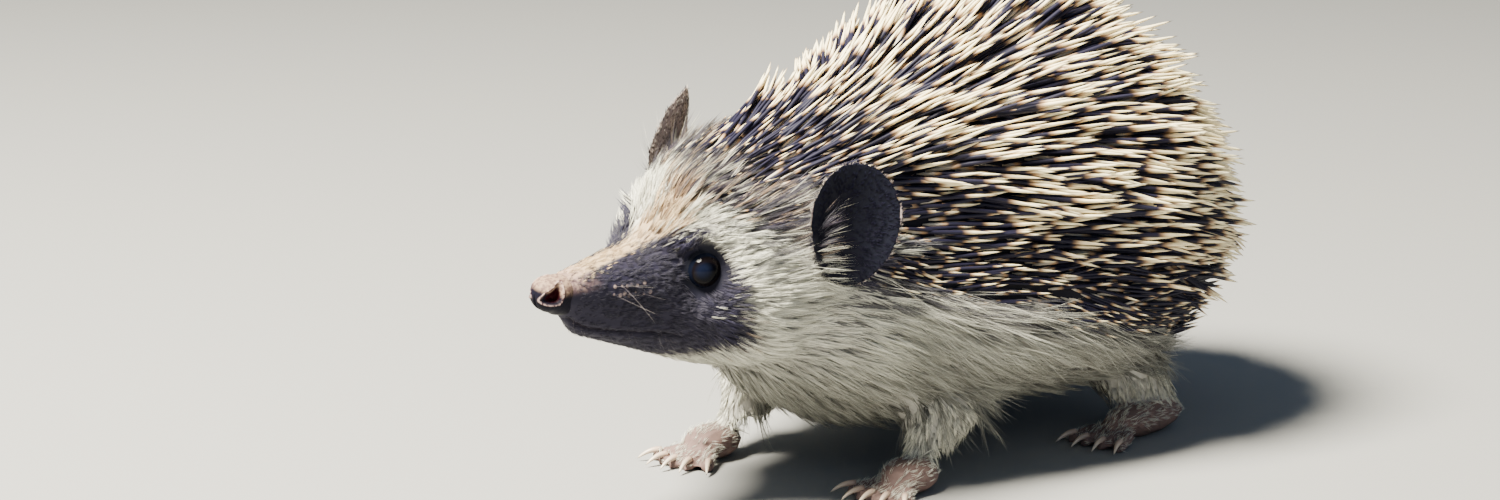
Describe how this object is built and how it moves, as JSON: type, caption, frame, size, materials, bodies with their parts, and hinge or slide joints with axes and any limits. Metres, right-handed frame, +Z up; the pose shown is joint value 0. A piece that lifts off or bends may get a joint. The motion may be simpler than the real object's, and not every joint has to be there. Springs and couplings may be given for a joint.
{
  "type": "hedgehog",
  "caption": "Life-size still model of an African pygmy hedgehog standing on all fours, with a quilled back, a pointed snout, round ears and short legs.",
  "frame": {"origin": "under the middle of the animal, on the floor it stands on", "axes": "-X towards the nose, +X towards the rump, -Y to the animal's left, +Y to its right, +Z up"},
  "size_m": [0.1552, 0.081, 0.0815],
  "materials": {
    "quills": "stiff keratin quills banded cream and dark brown",
    "pale_fur": "soft off-white underside fur",
    "face_fur": "short face fur with a dark mask and a white brow band",
    "ear_skin": "dark velvety skin with a pale fuzzy rim",
    "nose_leather": "moist dark skin",
    "eye": "glossy and almost black",
    "foot_skin": "thinly haired greyish pink skin",
    "claw": "pale translucent horn"
  },
  "bodies": {
    "root": {"head": "face_fur", "nose": "nose_leather", "eye_left": "eye", "eye_right": "eye", "ear_left": "ear_skin", "ear_right": "ear_skin", "neck": "pale_fur", "mantle": "quills", "trunk": "pale_fur", "tail": "foot_skin", "foreleg_left": "pale_fur", "foreleg_right": "pale_fur", "forefoot_left": "foot_skin", "forefoot_right": "foot_skin", "hindleg_left": "pale_fur", "hindleg_right": "pale_fur", "hindfoot_left": "foot_skin", "hindfoot_right": "foot_skin"}
  },
  "joints": []
}
